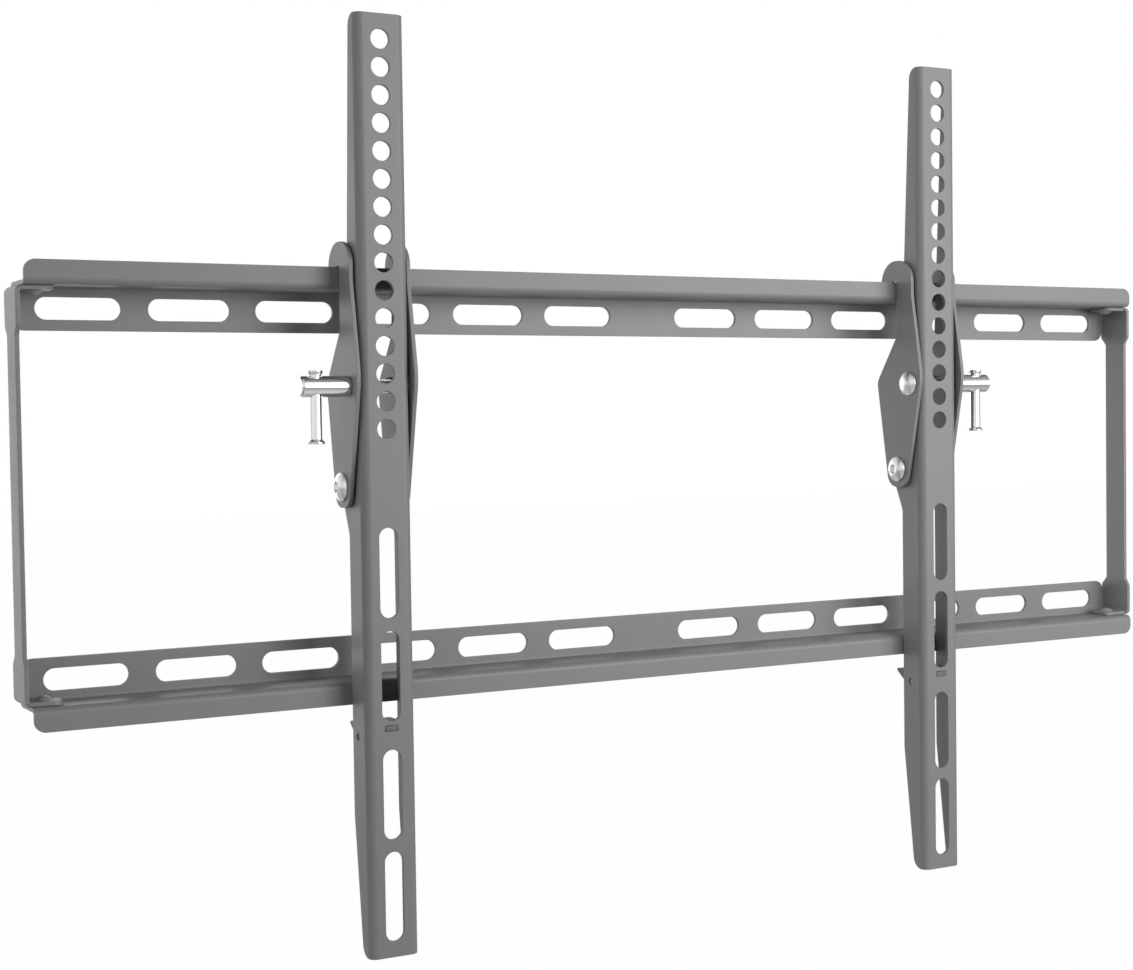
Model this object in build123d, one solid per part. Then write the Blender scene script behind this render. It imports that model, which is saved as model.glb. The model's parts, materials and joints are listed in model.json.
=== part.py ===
from build123d import *
import math
import os

# All sizes in millimetres. The wall is the plane Y = 0, the front is -Y and up is +Z.
# "Reach" is a distance forward from the wall; "set-back" is a distance behind an arm's front face.

# Folded sheet
sheet = 2.0
bend_inner = 1.0
bend_outer = bend_inner + sheet

# Wall frame rails
rail_half_length = 316.5
ledge_outer_height = 91.5
web_drop = 20.6
lip_rise = 8.5
lip_reach = 24.5
rail_corner_radius = 5.0
web_inner_height = ledge_outer_height - web_drop
lip_tip_height = ledge_outer_height + lip_rise

# Wall slots in the rails
slot_first_x = 38.0
slot_last_from_end = 28.5
slots_per_half = 6
slot_length = 37.8
slot_width = 9.8
slot_from_ledge = 10.9
slot_height = ledge_outer_height - slot_from_ledge
slot_pitch = (rail_half_length - slot_last_from_end - slot_first_x) / (slots_per_half - 1)

# Side plates that tie the rails together
side_gap = 1.0
side_tab_length = 15.0
side_tab_back_reach = 4.5
side_tab_front_reach = 20.0
ear_back_reach = 0.5
ear_front_reach = 21.0
ear_corner_radius = 2.0
ear_length = 17.0
ear_slope = 4.0
strip_back_reach = 4.2
strip_front_reach = 18.5

# Frame rivets
rivet_radius = 2.0
rivet_hole_gap = 0.1
rivet_head_radius = 4.0
rivet_head_height = 1.8
rivet_tail_radius = 3.2
rivet_tail_height = 0.9
rivet_from_side = 8.0
rivet_reach = 12.0

# Screen arms
arm_spacing = 320.4
arm_width = 24.2
arm_reach = 41.6
arm_top = 212.5
arm_below_lock = 106.0
arm_bend_inner = 0.6
arm_bend_outer = arm_bend_inner + sheet
arm_top_depth = 8.4
arm_top_corner = 5.5
arm_neck_depth = 16.2
arm_neck_height = 69.0
arm_lobe_depth = 32.6
arm_lobe_height = 46.5
arm_pivot_lobe = 24.6
arm_pivot_lobe_height = -4.0
arm_lower_height = -22.0
arm_rest_gap = 0.3
arm_lower_depth = arm_reach - lip_reach - arm_rest_gap
arm_taper_below_lock = 41.5
arm_bottom_depth = 9.0
arm_bottom_corner = 6.0
lobe_radius = 9.0
lobe_tip_radius = 4.5

# Screen holes and slots in each arm
hole_radius = 4.5
hole_pitch = 12.5
hole_count = 15
hole_top_height = 201.1
arm_slot_length = 41.0
arm_slot_from_lock = (69.5, 22.5, -31.5, -78.2)

# Hook plates
hook_gap = 1.0
hook_lip_gap = 0.4
hook_swing_gap = 1.3
hook_seat_gap = 0.45
hook_seat_radius = 0.6
hook_back_leg = 5.0
hook_back_width = 8.8
hook_front_width = 12.3
hook_top_rise = 11.4
hook_top_radius = 11.5
hook_neck_drop = 8.0
hook_belly_proud = 2.8
hook_belly_height = 49.0
hook_belly_radius = 30.0
hook_toe_drop = 9.6
hook_toe_front = 7.4
hook_toe_back = 7.4
hook_toe_radius = 7.0
hook_elbow_back = 16.6
hook_elbow_height = 47.0
hook_elbow_radius = 6.0
hook_shoulder_rise = 0.5

# Pivot bolt, nut and spacers
pivot_setback = 17.0
pivot_height = 0.0
pivot_radius = 4.0
pivot_run_gap = 0.08
pivot_head_radius = 6.6
pivot_head_height = 3.6
pivot_head_land = 0.9
pivot_socket_width = 5.0
pivot_socket_depth = 2.0
pivot_nut_radius = 6.2
pivot_nut_gap = 0.1
pivot_nut_chamfer = 0.4
pivot_end_chamfer = 0.5
spacer_radius = 8.5
spacer_run_gap = 0.35

# Tilt bolt and the arc slot it runs in
tilt_setback = 7.6
tilt_height = 45.6
tilt_radius = 3.0
tilt_hole_gap = 0.1
tilt_slot_gap = 0.35
tilt_slot_turn = 15.8
tilt_slot_over = 0.6
tilt_head_radius = 6.5
tilt_head_height = 3.4
tilt_head_land = 0.6
tilt_end_chamfer = 0.8

# Tilt handle and its sliding bar
sleeve_radius = 4.8
sleeve_length = 23.2
sleeve_chamfer = 1.0
sleeve_run_gap = 0.08
sleeve_plate_gap = 0.35
sleeve_bore_depth = 9.6
bolt_in_sleeve = 8.6
drill_half_angle = 59.0
bar_from_end = 7.5
bar_radius = 2.8
bar_gap = 0.3
bar_length = 32.8
bar_head_radius = 3.5
bar_foot_radius = 4.0
bar_head_height = 2.0
bar_head_rim = 0.8

# Lock plate and pin below the lower lip
lock_lip_gap = 8.5
lock_thickness = 2.4
lock_barb = 4.2
lock_barb_drop = 7.5
lock_barb_tip = 1.2
lock_tongue_width = 6.0
lock_tongue_gap = 0.2
lock_tongue_proud = 0.3
lock_pin_radius = 1.6
lock_pin_gap = 0.1
lock_pin_recess = 0.6
lock_pin_from_back = 5.8
lock_pin_drop = 5.6

side_inner_x = rail_half_length + side_gap
side_outer_x = side_inner_x + sheet
ledge_inner_height = ledge_outer_height - sheet
lip_back_reach = lip_reach - sheet
lock_top_height = -(lip_tip_height + lock_lip_gap)
lock_pin_setback = arm_lower_depth - lock_pin_from_back
arm_bottom = lock_top_height - arm_below_lock
arm_taper_height = lock_top_height - arm_taper_below_lock
arm_slot_heights = [lock_top_height + offset for offset in arm_slot_from_lock]
pivot_reach = arm_reach - pivot_setback
tilt_reach = arm_reach - tilt_setback
arm_half = arm_width / 2
arm_inside = arm_half - sheet
plate_inner = arm_half + hook_gap
plate_outer = plate_inner + sheet
spacer_height = hook_gap - spacer_run_gap


def side_plane(x):
    """Plane at X = x whose first axis is reach from the wall and second axis is height."""
    return Plane(origin=(x, 0, 0), x_dir=(0, -1, 0), z_dir=(-1, 0, 0))


def front_plane(reach):
    """Plane parallel to the wall, facing the front, at the given reach."""
    return Plane(origin=(0, -reach, 0), x_dir=(1, 0, 0), z_dir=(0, -1, 0))


def rounded_face(corners):
    """Closed flat face through corners given as (u, v, corner radius)."""
    ends = []
    count = len(corners)
    for index, (u, v, radius) in enumerate(corners):
        point = Vector(u, v)
        before = Vector(*corners[index - 1][:2]) - point
        after = Vector(*corners[(index + 1) % count][:2]) - point
        to_before = before.normalized()
        to_after = after.normalized()
        half = math.radians(to_before.get_angle(to_after)) / 2
        if radius == 0:
            ends.append((point, None, point))
            continue
        run = radius / math.tan(half)
        middle = (to_before + to_after).normalized() * (radius / math.sin(half) - radius)
        ends.append((point + to_before * run, point + middle, point + to_after * run))
    edges = []
    for index, (start, middle, end) in enumerate(ends):
        if middle is not None:
            edges.append(ThreePointArc(start, middle, end))
        edges.append(Line(end, ends[(index + 1) % count][0]))
    return make_face(edges)


def side_slab(face, x_low, x_high):
    """Solid between two X positions from a face drawn in reach and height."""
    return extrude(side_plane(x_high) * face, amount=x_high - x_low)


def bar_along_x(radius, x_start, x_end, reach, height):
    """Round bar along X between two X positions."""
    length = abs(x_end - x_start)
    middle = Location(((x_start + x_end) / 2, -reach, height), (0, 90, 0))
    return middle * Cylinder(radius, length)


def mirrored_height(corners, way):
    """Corner list with every height multiplied by way (+1 or -1)."""
    return [(u, v * way, radius) for u, v, radius in corners]


def slot_positions():
    """X positions of the wall slots along one rail."""
    half = [slot_first_x + slot_pitch * index for index in range(slots_per_half)]
    return [-x for x in half] + half


def rivet_x(side):
    """X position of the rivets at one end of the frame."""
    return side * (side_inner_x - rivet_from_side)


def make_rail(way):
    """Z-section rail; way is +1 for the upper rail and -1 for the lower one."""
    section = [
        (0, web_inner_height, 0),
        (sheet, web_inner_height, 0),
        (sheet, ledge_inner_height, bend_inner),
        (lip_reach, ledge_inner_height, bend_outer),
        (lip_reach, lip_tip_height, 0),
        (lip_back_reach, lip_tip_height, 0),
        (lip_back_reach, ledge_outer_height, bend_inner),
        (0, ledge_outer_height, bend_outer),
    ]
    rail = side_slab(rounded_face(mirrored_height(section, way)), -rail_half_length, rail_half_length)
    middle_height = way * (web_inner_height + lip_tip_height) / 2
    rail_height = lip_tip_height - web_inner_height
    blank = RectangleRounded(2 * rail_half_length, rail_height, rail_corner_radius)
    rail &= extrude(front_plane(-sheet) * Pos(0, middle_height) * blank, amount=lip_reach + 2 * sheet)
    for x in slot_positions():
        slot = front_plane(-sheet) * Pos(x, way * slot_height) * SlotOverall(slot_length, slot_width)
        rail -= extrude(slot, amount=3 * sheet)
    for side in (-1, 1):
        rail -= Pos(rivet_x(side), -rivet_reach, way * ledge_outer_height) * Cylinder(
            rivet_radius + rivet_hole_gap, 4 * sheet
        )
    return rail


def make_side_plate(side):
    """Side strip with a riveted tab folded inward at each end; side is -1 or +1."""
    tab_end = side_inner_x - side_tab_length
    section = [
        (side * side_outer_x, -ledge_inner_height, bend_outer),
        (side * tab_end, -ledge_inner_height, 0),
        (side * tab_end, -ledge_inner_height + sheet, 0),
        (side * side_inner_x, -ledge_inner_height + sheet, bend_inner),
        (side * side_inner_x, ledge_inner_height - sheet, bend_inner),
        (side * tab_end, ledge_inner_height - sheet, 0),
        (side * tab_end, ledge_inner_height, 0),
        (side * side_outer_x, ledge_inner_height, bend_outer),
    ]
    plate = extrude(front_plane(0) * rounded_face(section), amount=ear_front_reach)
    ear_height = ledge_inner_height - ear_length
    strip_height = ear_height - ear_slope
    outline = [
        (ear_back_reach, -ledge_inner_height, 0),
        (ear_back_reach, -ear_height, ear_corner_radius),
        (strip_back_reach, -strip_height, ear_corner_radius),
        (strip_back_reach, strip_height, ear_corner_radius),
        (ear_back_reach, ear_height, ear_corner_radius),
        (ear_back_reach, ledge_inner_height, 0),
        (ear_front_reach, ledge_inner_height, ear_corner_radius),
        (ear_front_reach, ear_height, ear_corner_radius),
        (strip_front_reach, strip_height, ear_corner_radius),
        (strip_front_reach, -strip_height, ear_corner_radius),
        (ear_front_reach, -ear_height, ear_corner_radius),
        (ear_front_reach, -ledge_inner_height, ear_corner_radius),
    ]
    plate &= side_slab(rounded_face(outline), -side_outer_x, side_outer_x)
    trim_length = side_tab_length + side_gap
    trim_x = side * (rail_half_length - trim_length / 2)
    for low, high in ((0, side_tab_back_reach), (side_tab_front_reach, ear_front_reach)):
        plate -= Pos(trim_x, -(low + high) / 2, 0) * Box(trim_length, high - low, 2 * lip_tip_height)
    for way in (-1, 1):
        plate -= Pos(rivet_x(side), -rivet_reach, way * ledge_inner_height) * Cylinder(
            rivet_radius + rivet_hole_gap, 4 * sheet
        )
    return plate


def cap_arc(radius, base, height):
    """Domed half outline from the apex at base - height on the first axis out to the rim at base."""
    ball = (radius**2 + height**2) / (2 * height)
    turn = math.asin(radius / ball) / 2
    middle = (base - height + ball * (1 - math.cos(turn)), ball * math.sin(turn))
    return ThreePointArc((base - height, 0), middle, (base, radius))


def make_rivet(side, way):
    """Domed rivet through a ledge and the side tab folded against it."""
    grip = 2 * sheet
    tail = grip + rivet_tail_height
    edges = [
        cap_arc(rivet_head_radius, 0, rivet_head_height),
        Line((0, rivet_head_radius), (0, rivet_radius)),
        Line((0, rivet_radius), (grip, rivet_radius)),
        Line((grip, rivet_radius), (grip, rivet_head_radius)),
        Line((grip, rivet_head_radius), (tail, rivet_tail_radius)),
        Line((tail, rivet_tail_radius), (tail, 0)),
        Line((tail, 0), (-rivet_head_height, 0)),
    ]
    rivet = revolve(make_face(edges), Axis.X)
    seat = way * (ledge_inner_height - sheet)
    return Location((rivet_x(side), -rivet_reach, seat), (0, -90 * way, 0)) * rivet


def make_arm(x):
    """U-channel screen arm, open towards the wall, centred at X = x."""
    length = arm_top - arm_bottom
    back_reach = arm_reach - arm_lobe_depth
    section = [
        (-arm_half, back_reach, 0),
        (-arm_half, arm_reach, arm_bend_outer),
        (arm_half, arm_reach, arm_bend_outer),
        (arm_half, back_reach, 0),
        (arm_inside, back_reach, 0),
        (arm_inside, arm_reach - sheet, arm_bend_inner),
        (-arm_inside, arm_reach - sheet, arm_bend_inner),
        (-arm_inside, back_reach, 0),
    ]
    top_plane = Plane(origin=(x, 0, arm_top), x_dir=(1, 0, 0), z_dir=(0, 0, -1))
    arm = extrude(top_plane * rounded_face(section), amount=length)
    outline = [
        (arm_reach, arm_bottom, 0),
        (arm_reach, arm_top, 0),
        (arm_reach - arm_top_depth, arm_top, arm_top_corner),
        (arm_reach - arm_neck_depth, arm_neck_height, lobe_radius),
        (arm_reach - arm_lobe_depth, arm_lobe_height, lobe_tip_radius),
        (arm_reach - arm_pivot_lobe, arm_pivot_lobe_height, lobe_radius),
        (arm_reach - arm_lower_depth, arm_lower_height, lobe_radius),
        (arm_reach - arm_lower_depth, arm_taper_height, lobe_radius),
        (arm_reach - arm_bottom_depth, arm_bottom, arm_bottom_corner),
    ]
    arm &= side_slab(rounded_face(outline), x - arm_half, x + arm_half)
    face = front_plane(arm_reach - 2 * sheet)
    for index in range(hole_count):
        hole = face * Pos(x, hole_top_height - hole_pitch * index) * Circle(hole_radius)
        arm -= extrude(hole, amount=3 * sheet)
    for height in arm_slot_heights:
        slot = face * Pos(x, height) * SlotOverall(arm_slot_length, 2 * hole_radius, rotation=90)
        arm -= extrude(slot, amount=3 * sheet)
    tongue_hole = Rectangle(
        lock_tongue_width + 2 * lock_tongue_gap, lock_thickness + 2 * lock_tongue_gap
    )
    tongue_height = lock_top_height - lock_thickness / 2
    arm -= extrude(face * Pos(x, tongue_height) * tongue_hole, amount=3 * sheet)
    arm -= bar_along_x(
        pivot_radius + pivot_run_gap, x - arm_width, x + arm_width, pivot_reach, pivot_height
    )
    arm -= bar_along_x(
        lock_pin_radius + lock_pin_gap,
        x - arm_width,
        x + arm_width,
        arm_reach - lock_pin_setback,
        lock_top_height - lock_pin_drop,
    )
    forward = tilt_reach - pivot_reach
    upward = tilt_height - pivot_height
    start = math.degrees(math.atan2(upward, forward)) - tilt_slot_over
    path = CenterArc(
        (pivot_reach, pivot_height),
        math.hypot(forward, upward),
        start,
        tilt_slot_turn + 2 * tilt_slot_over,
    )
    arc_slot = SlotArc(path, 2 * (tilt_radius + tilt_slot_gap))
    arm -= side_slab(arc_slot, x - arm_width, x + arm_width)
    return arm


def make_lock_plate(x):
    """Anti-lift catch inside an arm: a shelf with a front tongue and a sloped rear barb."""
    shelf_front = arm_reach - sheet - arm_bend_inner
    barb_end = arm_reach - arm_lower_depth - lock_barb
    underside = lock_top_height - lock_thickness
    profile = [
        (shelf_front, lock_top_height, 0),
        (shelf_front, underside, 0),
        (arm_reach - lock_pin_setback + 2 * lock_pin_radius, underside, 0),
        (arm_reach - lock_pin_setback, lock_top_height - lock_barb_drop, 0),
        (arm_reach - arm_lower_depth, lock_top_height - lock_barb_drop, lock_barb_tip),
        (barb_end, lock_top_height - lock_barb_tip, 0),
        (barb_end, lock_top_height, 0),
    ]
    plate = side_slab(rounded_face(profile), x - arm_inside, x + arm_inside)
    tongue_length = sheet + arm_bend_inner + lock_tongue_proud
    plate += Pos(x, -(shelf_front + tongue_length / 2), lock_top_height - lock_thickness / 2) * Box(
        lock_tongue_width, tongue_length, lock_thickness
    )
    plate -= bar_along_x(
        lock_pin_radius,
        x - arm_width,
        x + arm_width,
        arm_reach - lock_pin_setback,
        lock_top_height - lock_pin_drop,
    )
    return plate


def make_lock_pin(x):
    """Cross pin that holds the lock plate between the arm's flanges."""
    half = arm_half - lock_pin_recess
    return bar_along_x(
        lock_pin_radius, x - half, x + half, arm_reach - lock_pin_setback, lock_top_height - lock_pin_drop
    )


def make_hook_plate(x_low, pivot_hole):
    """Hook plate that hangs on the upper lip, with its pivot hole radius and a tilt bolt hole."""
    slot_front = lip_reach + hook_lip_gap
    slot_back = lip_back_reach - hook_swing_gap
    slot_top = lip_tip_height + hook_seat_gap
    top = lip_tip_height + hook_top_rise
    leg_end = lip_tip_height - hook_back_leg
    back = slot_back - hook_back_width
    front = slot_front + hook_front_width
    toe = pivot_height - hook_toe_drop
    outline = [
        (slot_front, web_inner_height + hook_shoulder_rise, hook_elbow_radius),
        (slot_front, slot_top, hook_seat_radius),
        (slot_back, slot_top, hook_seat_radius),
        (slot_back, leg_end, hook_seat_radius),
        (back, leg_end, hook_seat_radius),
        (back, top, hook_top_radius),
        (front, top, hook_top_radius),
        (front, lip_tip_height - hook_neck_drop, hook_belly_radius),
        (arm_reach + hook_belly_proud, hook_belly_height, hook_belly_radius),
        (pivot_reach + hook_toe_front, toe, hook_toe_radius),
        (pivot_reach - hook_toe_back, toe, hook_toe_radius),
        (pivot_reach - hook_elbow_back, hook_elbow_height, hook_elbow_radius),
    ]
    plate = side_slab(rounded_face(outline), x_low, x_low + sheet)
    for radius, reach, height in (
        (pivot_hole, pivot_reach, pivot_height),
        (tilt_radius + tilt_hole_gap, tilt_reach, tilt_height),
    ):
        plate -= bar_along_x(radius, x_low - sheet, x_low + 2 * sheet, reach, height)
    return plate


def turned_piece(edges, x, reach, height, way):
    """Revolve a half outline about its first axis and lay it along X, pointing to way * X."""
    piece = revolve(make_face(edges), Axis.X)
    spin = 0 if way > 0 else 180
    return Location((x, -reach, height), (0, 0, spin)) * piece


def make_pivot_bolt(x):
    """Button-head bolt through both hook plates, its head on the -X side."""
    grip = 2 * plate_outer
    edges = [
        cap_arc(pivot_head_radius, -pivot_head_land, pivot_head_height - pivot_head_land),
        Line((-pivot_head_land, pivot_head_radius), (0, pivot_head_radius)),
        Line((0, pivot_head_radius), (0, pivot_radius)),
        Line((0, pivot_radius), (grip - pivot_end_chamfer, pivot_radius)),
        Line((grip - pivot_end_chamfer, pivot_radius), (grip, pivot_radius - pivot_end_chamfer)),
        Line((grip, pivot_radius - pivot_end_chamfer), (grip, 0)),
        Line((grip, 0), (-pivot_head_height, 0)),
    ]
    bolt = turned_piece(edges, x - plate_outer, pivot_reach, pivot_height, 1)
    socket = RegularPolygon(pivot_socket_width / 2, 6, major_radius=False)
    socket_plane = Plane(
        origin=(x - plate_outer - pivot_head_height, -pivot_reach, pivot_height),
        x_dir=(0, 0, 1),
        z_dir=(1, 0, 0),
    )
    return bolt - extrude(socket_plane * socket, amount=pivot_socket_depth)


def make_pivot_nut(x):
    """Round clinch nut set flush in the hook plate on the +X side."""
    rim = pivot_nut_radius - pivot_nut_chamfer
    edges = [
        Line((0, pivot_radius), (0, pivot_nut_radius)),
        Line((0, pivot_nut_radius), (sheet - pivot_nut_chamfer, pivot_nut_radius)),
        Line((sheet - pivot_nut_chamfer, pivot_nut_radius), (sheet, rim)),
        Line((sheet, rim), (sheet, pivot_radius)),
        Line((sheet, pivot_radius), (0, pivot_radius)),
    ]
    return turned_piece(edges, x + plate_inner, pivot_reach, pivot_height, 1)


def make_ring(radius, bore, x_start, x_end, reach, height):
    """Flat washer along X."""
    ring = bar_along_x(radius, x_start, x_end, reach, height)
    return ring - bar_along_x(bore, x_start - radius, x_end + radius, reach, height)


def make_tilt_bolt(x, side):
    """Domed bolt through both hook plates, running out into the handle on the given side."""
    tip = 2 * plate_outer + sleeve_plate_gap + bolt_in_sleeve
    edges = [
        cap_arc(tilt_head_radius, -tilt_head_land, tilt_head_height - tilt_head_land),
        Line((-tilt_head_land, tilt_head_radius), (0, tilt_head_radius)),
        Line((0, tilt_head_radius), (0, tilt_radius)),
        Line((0, tilt_radius), (tip - tilt_end_chamfer, tilt_radius)),
        Line((tip - tilt_end_chamfer, tilt_radius), (tip, tilt_radius - tilt_end_chamfer)),
        Line((tip, tilt_radius - tilt_end_chamfer), (tip, 0)),
        Line((tip, 0), (-tilt_head_height, 0)),
    ]
    return turned_piece(edges, x - side * plate_outer, tilt_reach, tilt_height, side)


def make_sleeve(x, side):
    """Round handle sleeve on the tilt bolt, cross-drilled for the sliding bar."""
    outer = sleeve_radius
    bore = tilt_radius + sleeve_run_gap
    cone = sleeve_bore_depth + bore / math.tan(math.radians(drill_half_angle))
    edges = [
        Line((0, bore), (0, outer)),
        Line((0, outer), (sleeve_length - sleeve_chamfer, outer)),
        Line((sleeve_length - sleeve_chamfer, outer), (sleeve_length, outer - sleeve_chamfer)),
        Line((sleeve_length, outer - sleeve_chamfer), (sleeve_length, 0)),
        Line((sleeve_length, 0), (cone, 0)),
        Line((cone, 0), (sleeve_bore_depth, bore)),
        Line((sleeve_bore_depth, bore), (0, bore)),
    ]
    sleeve = turned_piece(edges, x + side * (plate_outer + sleeve_plate_gap), tilt_reach, tilt_height, side)
    cross_hole = Cylinder(bar_radius + bar_gap, 4 * outer)
    return sleeve - Pos(bar_x(x, side), -tilt_reach, tilt_height) * cross_hole


def bar_x(x, side):
    """X position of the sliding bar's axis."""
    return x + side * (plate_outer + sleeve_plate_gap + sleeve_length - bar_from_end)


def make_bar(x, side):
    """Sliding bar with flared ends, hanging with its upper head on the sleeve."""
    shank = bar_length - 2 * bar_head_height
    edges = [
        Line((0, 0), (bar_foot_radius, 0)),
        Line((bar_foot_radius, 0), (bar_foot_radius, bar_head_rim)),
        Line((bar_foot_radius, bar_head_rim), (bar_radius, bar_head_height)),
        Line((bar_radius, bar_head_height), (bar_radius, bar_head_height + shank)),
        Line((bar_radius, bar_head_height + shank), (bar_head_radius, bar_length - bar_head_rim)),
        Line((bar_head_radius, bar_length - bar_head_rim), (bar_head_radius, bar_length)),
        Line((bar_head_radius, bar_length), (0, bar_length)),
        Line((0, bar_length), (0, 0)),
    ]
    bar = revolve(Plane.XZ * make_face(edges), Axis.Z)
    top = tilt_height + sleeve_radius + bar_gap + bar_head_height
    return Pos(bar_x(x, side), -tilt_reach, top - bar_length) * bar


pieces = {
    "upper_rail": make_rail(1),
    "lower_rail": make_rail(-1),
    "left_side_plate": make_side_plate(-1),
    "right_side_plate": make_side_plate(1),
}
for end_name, end_side in (("left", -1), ("right", 1)):
    for level_name, level in (("upper", 1), ("lower", -1)):
        pieces[f"{level_name}_{end_name}_rivet"] = make_rivet(end_side, level)
for arm_name, arm_side in (("left", -1), ("right", 1)):
    centre = arm_side * arm_spacing / 2
    pieces[f"{arm_name}_arm"] = make_arm(centre)
    pieces[f"{arm_name}_lock_plate"] = make_lock_plate(centre)
    pieces[f"{arm_name}_lock_pin"] = make_lock_pin(centre)
    for plate_name, plate_side in (("outer", arm_side), ("inner", -arm_side)):
        low = centre + plate_side * (plate_inner + sheet / 2) - sheet / 2
        pivot_hole = pivot_nut_radius + pivot_nut_gap if plate_side > 0 else pivot_radius + tilt_hole_gap
        pieces[f"{arm_name}_{plate_name}_hook_plate"] = make_hook_plate(low, pivot_hole)
        seat = centre + plate_side * plate_inner
        pieces[f"{arm_name}_{plate_name}_spacer"] = make_ring(
            spacer_radius, pivot_radius + tilt_hole_gap, seat - plate_side * spacer_height, seat,
            pivot_reach, pivot_height,
        )
    pieces[f"{arm_name}_pivot_bolt"] = make_pivot_bolt(centre)
    pieces[f"{arm_name}_pivot_nut"] = make_pivot_nut(centre)
    pieces[f"{arm_name}_tilt_bolt"] = make_tilt_bolt(centre, arm_side)
    pieces[f"{arm_name}_tilt_handle"] = make_sleeve(centre, arm_side)
    pieces[f"{arm_name}_handle_bar"] = make_bar(centre, arm_side)

os.makedirs("parts", exist_ok=True)
for name, piece in pieces.items():
    export_step(piece, f"parts/{name}.step")
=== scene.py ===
"""Tilting TV wall bracket: softened sheet edges, threaded bolts, finishes, studio and camera."""

import json
import logging
import math
from dataclasses import dataclass, field
from enum import Enum
from typing import Callable

import bmesh
import bpy
from bmesh.types import BMEdge, BMesh, BMFace, BMVert
from bpy.types import Material, Node, NodeSocket, NodeTree, Object
from mathutils import Matrix, Vector


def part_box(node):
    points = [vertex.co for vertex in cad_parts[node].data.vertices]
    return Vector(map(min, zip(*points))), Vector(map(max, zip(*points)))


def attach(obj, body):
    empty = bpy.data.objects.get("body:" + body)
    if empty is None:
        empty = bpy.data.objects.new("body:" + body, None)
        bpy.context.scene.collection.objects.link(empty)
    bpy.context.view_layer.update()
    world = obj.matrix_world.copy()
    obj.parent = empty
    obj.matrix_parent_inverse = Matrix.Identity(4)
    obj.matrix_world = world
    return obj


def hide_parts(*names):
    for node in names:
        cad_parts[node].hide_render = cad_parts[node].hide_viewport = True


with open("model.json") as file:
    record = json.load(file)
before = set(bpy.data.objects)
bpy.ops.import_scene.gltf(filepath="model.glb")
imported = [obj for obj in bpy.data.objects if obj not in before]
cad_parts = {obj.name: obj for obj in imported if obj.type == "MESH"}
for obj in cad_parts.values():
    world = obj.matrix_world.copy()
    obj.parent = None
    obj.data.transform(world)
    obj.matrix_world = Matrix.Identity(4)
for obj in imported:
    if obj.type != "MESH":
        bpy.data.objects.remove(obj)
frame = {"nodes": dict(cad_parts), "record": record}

log = logging.getLogger("tv_wall_bracket")

Colour = tuple[float, float, float]
Point = tuple[float, float, float]
Levels = tuple[tuple[Point, float], ...]
Inputs = dict[str | int, object]

ACROSS: Point = (1.0, 0.0, 0.0)
INWARD: Point = (0.0, 1.0, 0.0)
UPRIGHT: Point = (0.0, 0.0, 1.0)
WHITE = (1.0, 1.0, 1.0, 1.0)

MICRON = 1e-6
CUT_SNAP = 1e-7
QUARTER_TURN = math.pi / 2
SHARP_EDGE = math.radians(38)
ONE_PLANE = math.radians(0.3)
ROUND_PROFILE = 0.5
EDGE_FACETS = 2
EDGE_ATTRIBUTE = "rounded_edge"

# Sockets of a Mix node that are used when it blends colours.
MIX_FACTOR, MIX_FIRST, MIX_SECOND, MIX_RESULT = 0, 6, 7, 2


class Side(Enum):
    """The two screen arms."""

    LEFT = "left"
    RIGHT = "right"

    @property
    def sign(self) -> int:
        """-1 for the left arm and +1 for the right arm."""
        return -1 if self is Side.LEFT else 1

    def piece(self, name: str) -> str:
        """Name of this side's piece."""
        return f"{self.value}_{name}"


class Effect(Enum):
    """Surface effects that several finishes share."""

    GRAIN = "coat_grain"
    EDGE_RUB_AND_HIGHLIGHT = "edge_rub"
    DUST = "settled_dust"
    HAZE = "plate_haze"
    TURNING = "turning_marks"


class Socket(Enum):
    """Kinds of sockets on the shared effects."""

    COLOUR = "NodeSocketColor"
    VALUE = "NodeSocketFloat"
    VECTOR = "NodeSocketVector"


class Slot(Enum):
    """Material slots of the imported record."""

    FRAME = "frame_coat"
    ARM = "arm_coat"
    HOOK = "hook_coat"
    LOCK = "lock_coat"
    RIVET = "rivet_coat"
    ZINC = "bright_zinc"
    NYLON = "nylon"


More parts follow.
